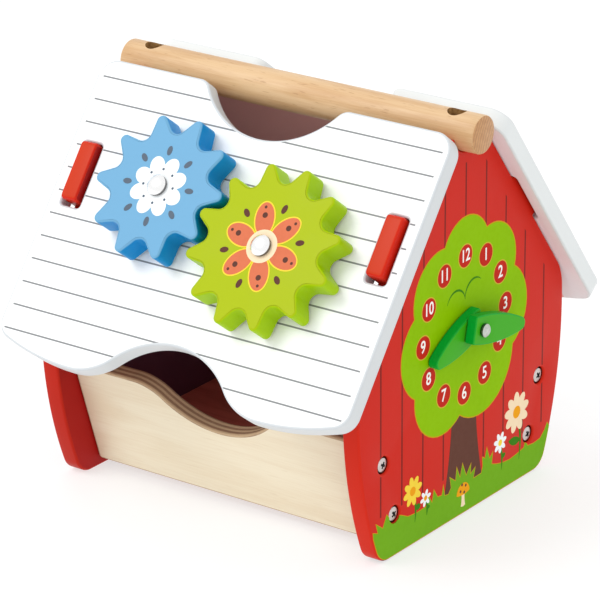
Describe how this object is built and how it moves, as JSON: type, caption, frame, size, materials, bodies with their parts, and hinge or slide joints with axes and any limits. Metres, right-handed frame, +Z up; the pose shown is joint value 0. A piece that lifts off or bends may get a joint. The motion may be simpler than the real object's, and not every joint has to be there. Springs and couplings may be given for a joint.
{
  "type": "wooden activity farm",
  "caption": "Small wooden barn with a carrying handle, two hung roof panels, a meshing gear pair that turns on the roof and a clock face with two turning hands on the gable.",
  "frame": {"origin": "on the ground under the middle of the whole toy", "axes": "+X runs along the ridge towards the gable with the clock, +Y points to the back, away from the gears, and +Z is up"},
  "size_m": [0.2292, 0.2442, 0.2192],
  "materials": {
    "red_board": "red painted board, satin, with lighter sanded edges",
    "white_board": "white painted board, satin, with thin grey printed slat lines",
    "blue_board": "light blue painted board with a brighter blue edge, satin",
    "green_board": "yellow-green painted board with a deeper green edge, satin",
    "leaf_board": "leaf green painted board, satin",
    "pale_plywood": "cream painted plywood with its layers showing on the cut edges",
    "beech_dowel": "clear-coated beech, satin",
    "steel": "zinc-plated steel",
    "bright_steel": "bright nickel-plated dome",
    "nylon": "white nylon"
  },
  "bodies": {
    "house": {"right_gable": "red_board", "left_gable": "red_board", "front_wall": "pale_plywood", "back_wall": "pale_plywood", "floor_board": "pale_plywood", "carry_handle": "beech_dowel", "right_handle_screw": "steel", "left_handle_screw": "steel", "right_wall_screw_1": "steel", "right_wall_screw_2": "steel", "right_wall_screw_3": "steel", "right_wall_screw_4": "steel", "left_wall_screw_1": "steel", "left_wall_screw_2": "steel", "left_wall_screw_3": "steel", "left_wall_screw_4": "steel", "clock_pin": "bright_steel", "clock_pin_washer": "steel", "clock_lock_nut": "steel"},
    "front_roof": {"front_roof_panel": "white_board", "blue_gear_spacer": "nylon", "green_gear_spacer": "nylon", "blue_gear_pin": "bright_steel", "green_gear_pin": "bright_steel", "blue_gear_pin_washer": "steel", "green_gear_pin_washer": "steel", "blue_gear_lock_nut": "steel", "green_gear_lock_nut": "steel"},
    "back_roof": {"back_roof_panel": "white_board"},
    "green_gear_wheel": {"green_gear": "green_board"},
    "blue_gear_wheel": {"blue_gear": "blue_board"},
    "hour_pointer": {"hour_hand": "leaf_board"},
    "minute_pointer": {"minute_hand": "leaf_board"}
  },
  "joints": [
    {"name": "front_roof_lift", "type": "slide", "parent": "house", "child": "front_roof", "axis": [0, -0.796, 0.6053], "range_m": [0, 0.025]},
    {"name": "back_roof_lift", "type": "slide", "parent": "house", "child": "back_roof", "axis": [0, 0.796, 0.6053], "range_m": [0, 0.025]},
    {"name": "green_gear_spin", "type": "hinge", "parent": "front_roof", "child": "green_gear_wheel", "pos_m": [0.03457, -0.06422, 0.14444], "axis": [0, -0.796, 0.6053], "continuous": true},
    {"name": "blue_gear_spin", "type": "hinge", "parent": "front_roof", "child": "blue_gear_wheel", "pos_m": [-0.03847, -0.05385, 0.15808], "axis": [0, -0.796, 0.6053], "continuous": true},
    {"name": "hour_hand_turn", "type": "hinge", "parent": "house", "child": "hour_pointer", "pos_m": [0.09865, 0, 0.1055], "axis": [1, 0, 0], "continuous": true},
    {"name": "minute_hand_turn", "type": "hinge", "parent": "house", "child": "minute_pointer", "pos_m": [0.09865, 0, 0.1055], "axis": [1, 0, 0], "continuous": true}
  ],
  "couplings": [
    {"joint": "blue_gear_spin", "follows": "green_gear_spin", "ratio": -1.2}
  ]
}
